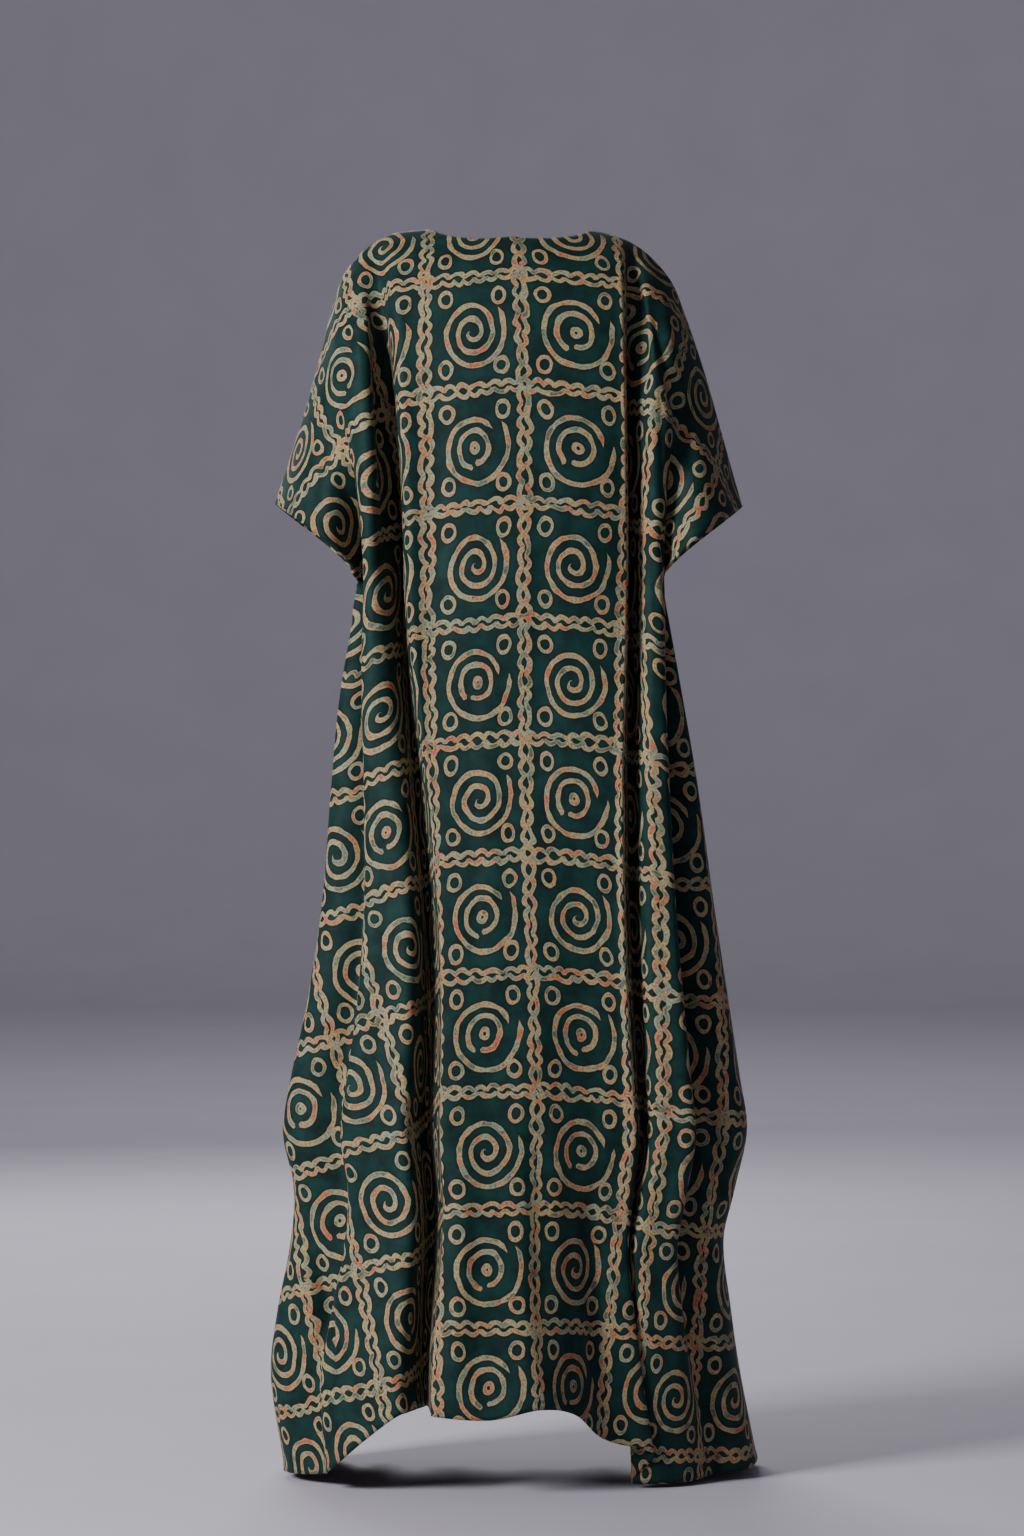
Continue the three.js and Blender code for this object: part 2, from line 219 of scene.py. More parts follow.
# A fold line: its name, its place across the cloth, how far across it hangs at underarm, hip,
# knee and hem, how far it stands out at blade, underarm, hip, knee and hem, and its hem's height.
BACK_FOLDS = [
    ("left side seam", 540, (193, 229, 290, 292), (0, 0, 0, 0, 0), 10),
    ("left side ridge", 450, (191, 222, 276, 282), (0, 2, 5, 8, 6), 10),
    ("left side valley", 370, (186, 192, 226, 240), (-8, -24, -30, -36, -14), 18),
    ("left outer ridge", 310, (179, 182, 210, 228), (10, 14, 12, 12, 8), 26),
    ("left side face", 250, (169, 162, 172, 180), (20, 24, 14, 10, 8), 70),
    ("left middle ridge", 205, (158, 138, 133, 132), (-2, 0, 4, 12, 8), 108),
    ("left inner valley", 180, (147, 120, 110, 104), (-44, -54, -44, -50, -58), 112),
    ("left panel lip", 155, (132, 107, 92, 95), (2, 6, -2, 4, 0), 110),
    ("left panel edge", 128, (105, 95, 84, 88), (0, 0, 2, 14, 18), 108),
    ("left panel", 64, (46, 39, 28, 26), (0, 0, 0, 6, 8), 104),
    ("middle", 0, (-14, -18, -31, -37), (0, 0, 0, 2, 4), 116),
    ("right panel", -64, (-72, -78, -88, -84), (0, 0, 0, -16, -34), 104),
    ("right panel border", -128, (-130, -128, -136, -120), (0, 2, 2, -18, -66), 68),
    ("right panel edge", -145, (-146, -141, -158, -186), (0, 0, 4, -14, -56), 46),
    ("right inner valley", -165, (-157, -152, -166, -154), (-38, -46, -38, -54, -92), 10),
    ("right middle ridge", -190, (-165, -166, -178, -180), (4, 4, 4, -10, -76), 6),
    ("right side face", -240, (-173, -182, -204, -226), (18, 20, 16, 4, -56), 6),
    ("right outer ridge", -300, (-181, -196, -228, -254), (8, 14, 14, 12, -50), 8),
    ("right side valley", -370, (-183, -202, -236, -276), (-10, -26, -30, -36, -46), 10),
    ("right side ridge", -450, (-186, -228, -278, -304), (0, 4, 6, 8, -10), 12),
    ("right side seam", -540, (-188, -242, -302, -318), (0, 0, 0, 0, 0), 18),
]

# A crease: how far it reaches to each side of its line, how far it stands in or out, and its line,
# to the left and up.
BACK_CREASES = [
    (15, -13, ((184, -30), (170, -89), (165, -155), (160, -230), (155, -318), (156, -410))),
    (12, 8, ((190, -110), (184, -200), (180, -300), (178, -400))),
    (15, -8, ((212, -60), (207, -143), (214, -200))),
    (11, -6, ((206, -372), (216, -450))),
    (10, 5, ((196, -360), (202, -470))),
    (13, -5, ((222, -200), (238, -290), (246, -350))),
    (26, -3, ((96, -120), (98, -330), (90, -560))),
    (24, -2.5, ((-34, -140), (-40, -420), (-38, -700))),
    (22, 2.5, ((30, -520), (26, -760), (20, -1010))),
    (14, -11, ((-150, -14), (-160, -70), (-166, -118), (-168, -190))),
    (14, -10, ((-175, -55), (-191, -132), (-214, -215), (-229, -280))),
    (11, 6, ((-176, -150), (-178, -260), (-182, -360))),
    (11, -6, ((-190, -352), (-206, -440))),
    (8, 3, ((-183, -372), (-190, -490))),
    (12, -12, ((268, -1225), (246, -1280), (233, -1335), (229, -1443))),
    (13, 8, ((276, -1260), (256, -1330), (252, -1420))),
    (20, -7, ((-96, -1180), (-104, -1330), (-112, -1460))),
    (26, -7, ((-30, -1060), (-36, -1240), (-44, -1430))),
    (22, 6, ((60, -1120), (64, -1290), (70, -1440))),
    (15, -7, ((-240, -1040), (-262, -1160), (-268, -1280))),
]

SHARES = (-1, -0.5, 0, 0.25, 0.62, 1)  # shoulder, blade, underarm, hip, knee and hem


def curve(places, values):
    """A smooth curve through a table's points, as a function of the place."""
    last = len(places) - 1
    slopes = []
    for i in range(last + 1):
        before, after = max(i - 1, 0), min(i + 1, last)
        slopes.append((values[after] - values[before]) / (places[after] - places[before]))

    def read(place):
        at = min(max(place, places[0]), places[last])
        i = 0
        while i < last - 1 and at > places[i + 1]:
            i += 1
        span = places[i + 1] - places[i]
        way = (at - places[i]) / span
        return blend(values[i], slopes[i] * span, values[i + 1], slopes[i + 1] * span, way)

    return read


def blend(start, leaving, end, arriving, t):
    """The cubic from one value to another that leaves and arrives at the given rates."""
    left = 1 - t
    return (
        start * (1 + 2 * t) * left * left
        + leaving * t * left * left
        + end * t * t * (3 - 2 * t)
        - arriving * t * t * left
    )


overarm = {
    name: curve([row[0] for row in OVERARM], [row[n] for row in OVERARM])
    for n, name in enumerate(OVERARM_COLUMNS)
}
section = {
    name: curve([row[0] for row in SECTIONS], [row[n] for row in SECTIONS])
    for n, name in enumerate(SECTION_COLUMNS)
}
seam_across = {
    "left": curve(SHARES[2:], BACK_FOLDS[0][2]),
    "right": curve(SHARES[2:], [-x for x in BACK_FOLDS[-1][2]]),
}


def skirt_point(facing, across, out, z, level):
    """A point of the skirt: across is its place to the left, and out how far it stands off."""
    hand = "left" if across > 0 else "right"
    side = min(abs(across) / seam_across[hand](level), 1)
    turn = math.asin(side ** (1 / RING_SQUARENESS))
    fold_turn = (turn / (math.pi / 2)) ** FOLD_TURN * (math.pi / 2)
    depth = section["back" if facing > 0 else "front"](-z)
    return Vector((
        math.copysign(side * section[hand](-z) + out * math.sin(fold_turn), across),
        facing * (math.cos(turn) ** RING_SQUARENESS * depth + out * math.cos(fold_turn))
        - section["forward"](-z) * side * side,
        z,
    ))


def strand_points(folds, facing, place, shares):
    """The points of one lengthwise strand of the cloth, at the given shares of its way down."""
    order = list(range(len(folds)))

    def read(pick):
        return curve(order, [pick(fold) for fold in folds])(place)

    cloth = read(lambda fold: fold[1])
    hem = FLOOR_LEVEL + read(lambda fold: fold[4])
    across = curve(SHARES[2:], [read(lambda fold, n=n: fold[2][n]) for n in range(4)])
    out = curve(SHARES, [0] + [read(lambda fold, n=n: fold[3][n]) for n in range(5)])
    hand, side = ("right", -1) if cloth < 0 else ("left", 1)
    at = abs(cloth)
    start = Vector((side * overarm[hand](at), -overarm["forward"](at), overarm[hand + "Up"](at)))
    end = skirt_point(facing, across(0), 0, UNDERARM, 0)
    cuff = max(0, (at - CUFF_STARTS) / CUFF_RUN)
    swell = overarm["swell"](at) * (1 if facing > 0 else FRONT_SWELL)
    leaving = Vector((-side * overarm["inward"](at), facing * swell, -overarm["fall"](at)))
    arriving = Vector((0, -facing * CUFF_TUCK * cuff, -(start - end).length * (1 - CUFF_SLACK * cuff)))
    points = []
    for share in shares:
        if share < 0:
            s = share + 1
            point = Vector(blend(a, b, c, d, s) for a, b, c, d in zip(start, leaving, end, arriving))
            points.append(point + skirt_point(facing, across(0), out(share), UNDERARM, 0) - end)
        else:
            z = UNDERARM + (hem - UNDERARM) * share
            points.append(skirt_point(facing, across(share), out(share), z, share))
    return points


def rows_of_shares(cloth, facing):
    """The shares at which a strand has its points: from its neckline or seam down to the hem."""
    inside_neck = max(1 - (cloth / NECK_HALF_WIDTH) ** 2, 0)
    top = -1 + NECK_DROP["back" if facing > 0 else "front"] * math.sqrt(inside_neck)
    upper = [top * (1 - (j / UPPER_ROWS) ** UPPER_ROW_GROWTH) for j in range(UPPER_ROWS)]
    lower = [j / LOWER_ROWS for j in range(LOWER_ROWS)]
    return upper + lower + [1 - TURNED_IN / (UNDERARM - FLOOR_LEVEL), 1]


# The cloth is a little fuller than its form in places, which brings the grain beyond towards the
# middle: in the deepest fold on each side, and slightly in the flat middle. Each row is a side,
# the middle and half width of the place, and the extra width by share of the way to the hem.
TAKEN_IN = [
    (1, 168, 42, (-1, -0.93, -0.74, -0.56, -0.32, -0.1, 0.1, 0.3, 0.42, 0.57, 0.85, 1),
     (0, 2, 18, 34, 50, 54, 50, 50, 66, 116, 188, 215)),
    (1, 60, 65, (-1, -0.1, 0.15, 0.3, 0.5), (12, 11, 3, -2, 0)),
    (-1, 178, 50, (-1, -0.9, -0.5, -0.2, 0.1, 0.3), (0, 2, 28, 38, 30, 18)),
    (-1, 280, 160, (-1, 0, 0.25, 0.45, 0.7, 1), (0, -6, -16, -26, 4, 28)),
    (-1, 60, 65, (-1, -0.3, 0, 0.3, 0.5), (-8, -4, 4, 4, 0)),
]
NARROWEST = 0.25  # the least that a gap keeps of its width

# Laying flat: passes over the coarse and the fine cloth, how far past its aim each pass moves a
# point, every how many strands and rows the coarse cloth has, and how often it is ironed after.
FLATTENING_STEPS = 5000
FINE_FLATTENING_STEPS = 250
OVERREACH = 1.2
COARSE_STRANDS = 4
COARSE_ROWS = 5
IRONINGS = 8

# The middle strand's place across, by how far down it is.
MIDDLE_SWAY = ((0, 330, 520), (6, 6, 0))


def fullness(points, cloth, shares):
    """How much wider the flat cloth is than its form, between each strand and the next."""
    gaps = np.linalg.norm(np.diff(points, axis=0), axis=2)
    between = (cloth[1:] + cloth[:-1]) / 2
    wider = np.ones_like(gaps)
    for side, middle, half_width, at, extra in TAKEN_IN:
        near = np.clip(1 - np.abs(between * side - middle) / half_width, 0, 1)
        near = (near * near * (3 - 2 * near))[:, None]
        wider += near * np.interp(shares, at, extra) / (gaps * near).sum(axis=0)
    return np.maximum(wider, NARROWEST)


def lay_flat(points, wider, guess, steps):
    """Works hanging cloth back to its flat cut: each point's place on the flat cloth, across and down,
    so that its distances to its neighbours are those on the form. The middle strand stays straight."""
    width, height = points.shape[:2]
    flat, pinned = guess.copy(), guess[width // 2].copy()
    ways = points[1:] - points[:-1]
    ways /= np.linalg.norm(ways, axis=2, keepdims=True)
    ties = []
    for first, second in (((1, 0), (0, 0)), ((0, 1), (0, 0)), ((1, 1), (0, 0)), ((1, 0), (0, 1))):
        over, down = max(first[0], second[0]), max(first[1], second[1])
        a = np.s_[first[0]:width - over + first[0], first[1]:height - down + first[1]]
        b = np.s_[second[0]:width - over + second[0], second[1]:height - down + second[1]]
        apart = points[a] - points[b]
        if over:
            way = ways[:, :height - down]
            along = (apart * way).sum(axis=2, keepdims=True)
            square = ((apart - along * way) ** 2).sum(axis=2, keepdims=True)
            length = np.sqrt((along * wider[:, :height - down, None]) ** 2 + square)
        else:
            length = np.linalg.norm(apart, axis=2, keepdims=True)
        ties.append((a, b, length, over and not down))
    # Points two apart keep the cloth smooth as it is laid out.
    across, along = ties[0][2], ties[1][2]
    ties.append((np.s_[2:], np.s_[:-2], across[1:] + across[:-1], True))
    ties.append((np.s_[:, 2:], np.s_[:, :-2], along[:, 1:] + along[:, :-1], False))
    for _ in range(steps):
        moves, counts = np.zeros_like(flat), np.zeros((width, height, 1))
        for a, b, length, in_order in ties:
            apart = flat[a] - flat[b]
            aim = apart
            if in_order:
                # The strands keep their order across, so that the cloth never folds over.
                aim = np.stack([-np.abs(apart[..., 0]), apart[..., 1]], axis=2)
            now = np.linalg.norm(aim, axis=2, keepdims=True) + 1e-9
            push = (aim * (length / now) - apart) * 0.5
            moves[a] += push
            moves[b] -= push
            counts[a] += 1
            counts[b] += 1
        flat += moves / counts * OVERREACH
        flat[width // 2] = pinned
    return flat


def flat_cloth(points, cloth, shares):
    """Lays a panel flat in two passes, every few points first and then all of them."""
    wider = fullness(points, cloth, shares)
    gaps = np.linalg.norm(np.diff(points, axis=0), axis=2) * wider
    over = np.zeros(points.shape[:2])
    over[1:] = np.cumsum(gaps, axis=0)
    over -= over[len(over) // 2]
    down = np.zeros(points.shape[:2])
    down[:, 1:] = np.cumsum(np.linalg.norm(np.diff(points, axis=1), axis=2), axis=1)
    guess = np.stack([np.interp(down, *MIDDLE_SWAY) - over, down], axis=2)
    strands = np.arange(0, len(points), COARSE_STRANDS)
    rows = np.arange(0, points.shape[1], COARSE_ROWS)
    few = np.ix_(strands, rows)
    few_wider = fullness(points[few], cloth[strands], shares[rows])
    coarse = lay_flat(points[few], few_wider, guess[few], FLATTENING_STEPS)
    fine = guess.copy()
    for n in range(2):
        moved = coarse[..., n] - guess[few][..., n]
        by_strand = np.array([np.interp(range(points.shape[1]), rows, row) for row in moved])
        fine[..., n] += np.array([np.interp(range(len(points)), strands, column) for column in by_strand.T]).T
    laid = lay_flat(points, wider, fine, FINE_FLATTENING_STEPS)
    # The smallest zigzags are ironed out.
    moved = laid - guess
    for _ in range(IRONINGS):
        moved[1:-1] = (moved[:-2] + 2 * moved[1:-1] + moved[2:]) / 4
    return guess + moved


# A crease fades where the cloth turns away to the side, and towards its ends.
CREASE_FADE = 2.5
CREASE_END = 0.6


def press_creases(points, creases, facing):
    """Moves the cloth in or out along each crease: deepest on its line, fading across and at its ends."""
    square = np.cross(np.gradient(points, axis=0), np.gradient(points, axis=1)) * -facing
    square /= np.linalg.norm(square, axis=2, keepdims=True)
    faces_out = np.clip(square[..., 1] * facing * CREASE_FADE, 0, 1)
    moved = np.zeros(points.shape[:2])
    for half_width, depth, line in creases:
        line = np.array(line, dtype=float)
        lengths = np.linalg.norm(np.diff(line, axis=0), axis=1)
        nearest = np.full(moved.shape, 1e9)
        share = np.zeros(moved.shape)
        gone = 0.0
        for start, end, length in zip(line, line[1:], lengths):
            away = points[..., [0, 2]] - start
            t = np.clip((away @ (end - start)) / length ** 2, 0, 1)
            off = np.linalg.norm(away - t[..., None] * (end - start), axis=2)
            closer = off < nearest
            nearest = np.where(closer, off, nearest)
            share = np.where(closer, (gone + t * length) / lengths.sum(), share)
            gone += length
        across = np.clip(1 - (nearest / half_width) ** 2, 0, 1) ** 2
        moved += depth * across * np.sin(math.pi * np.clip(share, 0, 1)) ** CREASE_END
    return points + square * (moved * faces_out)[..., None]


def hang_panel(name, folds, creases, facing, material):
    """The panel as a thin sheet on its form, with each point's place on the flat cloth kept as its
    UV map in metres. It is twice as thick where its edges are turned in."""
    strands = (len(folds) - 1) * STRANDS_PER_FOLD
    read_cloth = curve(list(range(len(folds))), [fold[1] for fold in folds])
    places = [i / STRANDS_PER_FOLD for i in range(strands + 1)]
    cloth = np.array([read_cloth(place) for place in places])
    rows = UPPER_ROWS + LOWER_ROWS + 1

    # The cloth is laid out as if the neck weren't cut out of it yet, and then cut.
    uncut = np.array(rows_of_shares(NECK_HALF_WIDTH, facing))
    whole = np.array([[tuple(p) for p in strand_points(folds, facing, place, uncut)] for place in places])
    whole_flat = flat_cloth(whole, cloth, uncut)
    cut = [rows_of_shares(across, facing) for across in cloth]
    grid = np.array([
        [tuple(p) for p in strand_points(folds, facing, place, shares)] for place, shares in zip(places, cut)
    ])
    flat = np.array([
        np.stack([np.interp(shares, uncut, strand[:, 0]), np.interp(shares, uncut, strand[:, 1])], axis=1)
        for strand, shares in zip(whole_flat, cut)
    ])
    creased = press_creases(grid, creases, facing)

    bm = bmesh.new()
    bmesh.ops.create_grid(bm, x_segments=strands, y_segments=rows, size=0.5)
    cloth_map = bm.loops.layers.uv.new("flat cloth")
    where = {}
    for vert in bm.verts:
        i, j = round((vert.co.x + 0.5) * strands), round((vert.co.y + 0.5) * rows)
        where[vert] = (i, j)
        vert.co = creased[i, j] * MM
    for face in bm.faces:
        face.smooth = True
        for loop in face.loops:
            loop[cloth_map].uv = flat[where[loop.vert]] * MM
    if facing < 0:
        bmesh.ops.reverse_faces(bm, faces=bm.faces)
    mesh = bpy.data.meshes.new(name)
    indices = [where[vert] for vert in bm.verts]
    bm.to_mesh(mesh)
    bm.free()
    mesh.materials.append(material)
    panel = bpy.data.objects.new(name, mesh)
    bpy.context.collection.objects.link(panel)
    turned_in = panel.vertex_groups.new(name="turned in")
    for vert, (i, j) in zip(mesh.vertices, indices):
        at_sleeve_end = i in (0, 1, strands - 1, strands) and j <= UPPER_ROWS
        if j <= 1 or j >= rows - 1 or at_sleeve_end:
            turned_in.add([vert.index], 1.0, "REPLACE")
    wall = panel.modifiers.new("thickness", "SOLIDIFY")
    wall.thickness = 2 * CLOTH_THICKNESS * MM
    wall.thickness_vertex_group = 0.5
    wall.vertex_group = "turned in"
    wall.offset = -1
    return panel, creased


# Batik cotton: plain-woven cotton, its design drawn in wax and the cloth dyed dark green over
# beige. A soft matt face, and lines of uneven width drawn by hand, pale along their edges and
# blotched with pink, green and brown between, on a dark ground that is darkest beside them.
COLUMN_PITCH = 125
ROW_PITCH = 147
FIRST_ROW = 117
LINE_HALF_WIDTH = 3.1
RINGS_PITCH = 17.5
SPIRAL_PITCH = 15.6
OUTER_RING_FROM = 28.0
DOT_RADIUS = 4.6
DOT_HALF_WIDTH = 2.7
CORNER_RING_PLACE = (36.5, 45.5, 0.0)
CORNER_RING_RADIUS = 8.8
CORNER_RING_HALF_WIDTH = 2.2
FAR_AWAY = 40.0  # added to a distance, it takes a line out of a motif

# The length of a lobe, the chain's gap at its waist, its swing and half a line's width.
COLUMN_CHAIN = (21.5, 0.9, 5.2, 2.9)
ROW_CHAIN = (18.3, 1.5, 5.6, 2.9)

batik, tree = new_material("batik cotton")

flat_place = add(tree, "UVMap", uv_map="flat cloth")
cloth_mm = add(tree, "VectorMath", flat_place, (1 / MM, 1 / MM, 0), operation="MULTIPLY")

# The hand's wobble: slow drifts and small shakes of the drawn lines, in millimetres.
drift_noise = add(
    tree, "TexNoise", named={"Vector": cloth_mm, "Scale": 1 / 38, "Detail": 1.0}, noise_dimensions="2D",
)
drift = add(tree, "VectorMath", drift_noise.outputs["Color"], (0.5, 0.5, 0.5), operation="SUBTRACT")
shake_noise = add(
    tree, "TexNoise", named={"Vector": cloth_mm, "Scale": 1 / 10, "Detail": 1.0}, noise_dimensions="2D",
)
shake = add(tree, "VectorMath", shake_noise.outputs["Color"], (0.5, 0.5, 0.5), operation="SUBTRACT")
drifted = add(tree, "VectorMath", drift, (5.5, 5.5, 0.0), cloth_mm, operation="MULTIPLY_ADD")
drawn = add(tree, "VectorMath", shake, (1.0, 1.0, 0.0), drifted, operation="MULTIPLY_ADD")

# How much wax ran, which thickens and thins the lines.
pressure_noise = add(
    tree, "TexNoise", named={"Vector": cloth_mm, "Scale": 1 / 14, "Detail": 2.0}, noise_dimensions="2D",
)
pressure = add(tree, "MapRange", pressure_noise, 0.3, 0.7, -0.55, 0.55)

# Chains: along each column and each row of the lattice, two wavy lines that mirror each other,
# close at each waist and apart at each eye. Here and there they drift apart, or run together.
chain_gap_noise = add(
    tree, "TexNoise", named={"Vector": cloth_mm, "Scale": 1 / 60, "Detail": 1.0}, noise_dimensions="2D",
)
chain_gap = add(tree, "MapRange", chain_gap_noise, 0.3, 0.7, -1.1, 1.5)
chain_slip_noise = add(
    tree, "TexNoise", named={"Vector": cloth_mm, "Scale": 1 / 75, "Detail": 1.0}, noise_dimensions="2D",
)
chain_slip = add(tree, "MapRange", chain_slip_noise, 0.3, 0.7, -1.1, 1.1)
spots = add(tree, "SeparateXYZ", drawn)
chains = []
for along, across, pitch, first, (lobe, apart, swing, half_width) in (
    (spots.outputs["Y"], spots.outputs["X"], COLUMN_PITCH, 0, COLUMN_CHAIN),
    (spots.outputs["X"], spots.outputs["Y"], ROW_PITCH, FIRST_ROW, ROW_CHAIN),
):
    counted = add(
        tree, "Math", add(tree, "Math", across, -first, operation="ADD"), pitch, operation="DIVIDE",
    )
    nearest = add(tree, "Math", counted, operation="ROUND")
    off_line = add(
        tree, "Math", add(tree, "Math", counted, nearest, operation="SUBTRACT"), pitch,
        operation="MULTIPLY",
    )
    turned = add(
        tree, "Math", along, math.pi / lobe, add(tree, "Math", nearest, 0.85, operation="MULTIPLY"),
        operation="MULTIPLY_ADD",
    )
    lobes = add(
        tree, "Math", chain_slip, add(tree, "Math", off_line, operation="SIGN"), turned,
        operation="MULTIPLY_ADD",
    )
    bulge = add(tree, "Math", add(tree, "Math", lobes, operation="SINE"), operation="ABSOLUTE")
    place = add(
        tree, "Math", bulge, swing, add(tree, "Math", chain_gap, apart, operation="ADD"),
        operation="MULTIPLY_ADD",
    )
    off_strand = add(
        tree, "Math",
        add(
            tree, "Math", add(tree, "Math", off_line, operation="ABSOLUTE"), place,
            operation="SUBTRACT",
        ),
        operation="ABSOLUTE",
    )
    # A line that runs aslant is as wide as one that runs straight.
    slope = add(
        tree, "Math", add(tree, "Math", lobes, operation="COSINE"), swing * math.pi / lobe,
        operation="MULTIPLY",
    )
    slant = add(
        tree, "Math", add(tree, "Math", slope, slope, 1.0, operation="MULTIPLY_ADD"), operation="SQRT",
    )
    chains.append(
        add(
            tree, "Math", add(tree, "Math", off_strand, slant, operation="DIVIDE"), half_width,
            operation="SUBTRACT",
        ),
    )
chain = add(tree, "Math", *chains, operation="MINIMUM")

# The lattice: which cell of the design a point is in, and its place from the cell's middle.
cell_place = add(tree, "VectorMath", drawn, (0.0, -FIRST_ROW, 0.0), operation="ADD")
in_cells = add(tree, "VectorMath", cell_place, (1 / COLUMN_PITCH, 1 / ROW_PITCH, 0.0), operation="MULTIPLY")
cell = add(tree, "VectorMath", in_cells, operation="FLOOR")
from_corner = add(tree, "VectorMath", in_cells, cell, operation="SUBTRACT")
from_middle = add(tree, "VectorMath", from_corner, (0.5, 0.5, 0.0), operation="SUBTRACT")
local = add(tree, "VectorMath", from_middle, (COLUMN_PITCH, ROW_PITCH, 0.0), operation="MULTIPLY")
chance = add(tree, "SeparateColor", add(tree, "TexWhiteNoise", cell, noise_dimensions="2D").outputs["Color"])

# The large motif: in some cells a spiral, in others two broken rings round a dot. Both are lines
# that step out as they turn: a spiral by its whole pitch in each turn, and a ring by a part of it.
is_spiral = add(tree, "Math", chance.outputs["Red"], 0.45, operation="GREATER_THAN")
motif = add(tree, "VectorMath", local, (-1.03, -0.93, 0.0), operation="MULTIPLY")
motif_xy = add(tree, "SeparateXYZ", motif)
radius = add(tree, "VectorMath", motif, operation="LENGTH").outputs["Value"]
beyond = add(tree, "Math", radius, OUTER_RING_FROM, operation="GREATER_THAN")
outer = add(
    tree, "Math", beyond, add(tree, "Math", 1.0, is_spiral, operation="SUBTRACT"), operation="MULTIPLY",
)
angle = add(tree, "Math", motif_xy.outputs["Y"], motif_xy.outputs["X"], operation="ARCTAN2")
loose = add(tree, "Math", chance.outputs["Green"], 0.12, 0.24, operation="MULTIPLY_ADD")
start = add(
    tree, "Math", outer, -0.37, add(tree, "Math", is_spiral, 0.5, loose, operation="MULTIPLY_ADD"),
    operation="MULTIPLY_ADD",
)
turn = add(
    tree, "Math", add(tree, "Math", angle, 1 / (2 * math.pi), start, operation="MULTIPLY_ADD"),
    operation="FRACT",
)
climb = add(
    tree, "Math", outer, 0.44, add(tree, "Math", is_spiral, 0.65, 0.35, operation="MULTIPLY_ADD"),
    operation="MULTIPLY_ADD",
)
stepped = add(tree, "Math", turn, climb, operation="MULTIPLY")
motif_pitch = add(
    tree, "Math", is_spiral, SPIRAL_PITCH - RINGS_PITCH, RINGS_PITCH, operation="MULTIPLY_ADD",
)
steps_out = add(
    tree, "Math", outer, 0.17, add(tree, "Math", radius, motif_pitch, operation="DIVIDE"),
    operation="MULTIPLY_ADD",
)
lines = add(tree, "Math", steps_out, stepped, operation="SUBTRACT")
line = add(tree, "Math", lines, operation="ROUND")
off_turn = add(tree, "Math", add(tree, "Math", lines, line, operation="SUBTRACT"), operation="ABSOLUTE")
off_motif = add(tree, "Math", off_turn, motif_pitch, operation="MULTIPLY")
wound = add(tree, "Math", line, stepped, operation="ADD")
# The line ends where the hand lifted: it tapers over its last few millimetres.
start_at = add(
    tree, "Math", outer, 1.3, add(tree, "Math", is_spiral, -0.42, 0.62, operation="MULTIPLY_ADD"),
    operation="MULTIPLY_ADD",
)
past_start = add(tree, "Math", wound, start_at, operation="SUBTRACT")
before_end = add(
    tree, "Math", add(tree, "Math", chance.outputs["Blue"], 0.08, 2.84, operation="MULTIPLY_ADD"),
    wound, operation="SUBTRACT",
)
end_turns = add(tree, "Math", past_start, before_end, operation="MINIMUM")
circle = add(tree, "Math", radius, 2 * math.pi, operation="MULTIPLY")
end_taper = add(
    tree, "Math", add(tree, "Math", end_turns, circle, operation="MULTIPLY"), 0.28, -3.0,
    operation="MULTIPLY_ADD",
)
# A ring is broken where it closes, the inner one squarely and the outer one with tapered ends.
closing = add(
    tree, "Math", 0.5,
    add(tree, "Math", add(tree, "Math", turn, 0.5, operation="SUBTRACT"), operation="ABSOLUTE"),
    operation="SUBTRACT",
)
closing_slope = add(tree, "Math", outer, -1.3, 1.6, operation="MULTIPLY_ADD")
closing_start = add(tree, "Math", outer, 3.0, -6.0, operation="MULTIPLY_ADD")
ring_taper = add(
    tree, "Math", add(tree, "Math", closing, circle, operation="MULTIPLY"), closing_slope,
    closing_start, operation="MULTIPLY_ADD",
)
broken_taper = add(tree, "Math", is_spiral, FAR_AWAY, ring_taper, operation="MULTIPLY_ADD")
taper = add(
    tree, "Math", add(tree, "Math", end_taper, broken_taper, operation="MINIMUM"), 0.0,
    operation="MINIMUM",
)
motif_line = add(
    tree, "Math", off_motif, add(tree, "Math", taper, LINE_HALF_WIDTH, operation="ADD"),
    operation="SUBTRACT",
)
# The dot is a small thick ring, and a spiral has none.
dot_off = add(
    tree, "Math", add(tree, "Math", radius, DOT_RADIUS, operation="SUBTRACT"), operation="ABSOLUTE",
)
dot = add(
    tree, "Math", add(tree, "Math", is_spiral, FAR_AWAY, dot_off, operation="MULTIPLY_ADD"),
    DOT_HALF_WIDTH, operation="SUBTRACT",
)

# Corner rings, four to a cell, a little taller than wide.
quarter = add(tree, "VectorMath", local, operation="ABSOLUTE")
ring_place = add(tree, "VectorMath", quarter, CORNER_RING_PLACE, operation="SUBTRACT")
ring_round = add(tree, "VectorMath", ring_place, (1.12, 0.9, 0.0), operation="MULTIPLY")
ring_radius = add(tree, "VectorMath", ring_round, operation="LENGTH").outputs["Value"]
ring = add(
    tree, "Math",
    add(
        tree, "Math", add(tree, "Math", ring_radius, CORNER_RING_RADIUS, operation="SUBTRACT"),
        operation="ABSOLUTE",
    ),
    CORNER_RING_HALF_WIDTH, operation="SUBTRACT",
)

# Millimetres outside the nearest line, and less than nothing inside it.
motifs = add(
    tree, "Math", add(tree, "Math", motif_line, dot, operation="MINIMUM"), ring, operation="MINIMUM",
)
edge = add(
    tree, "Math", add(tree, "Math", motifs, chain, operation="MINIMUM"), pressure, operation="SUBTRACT",
)

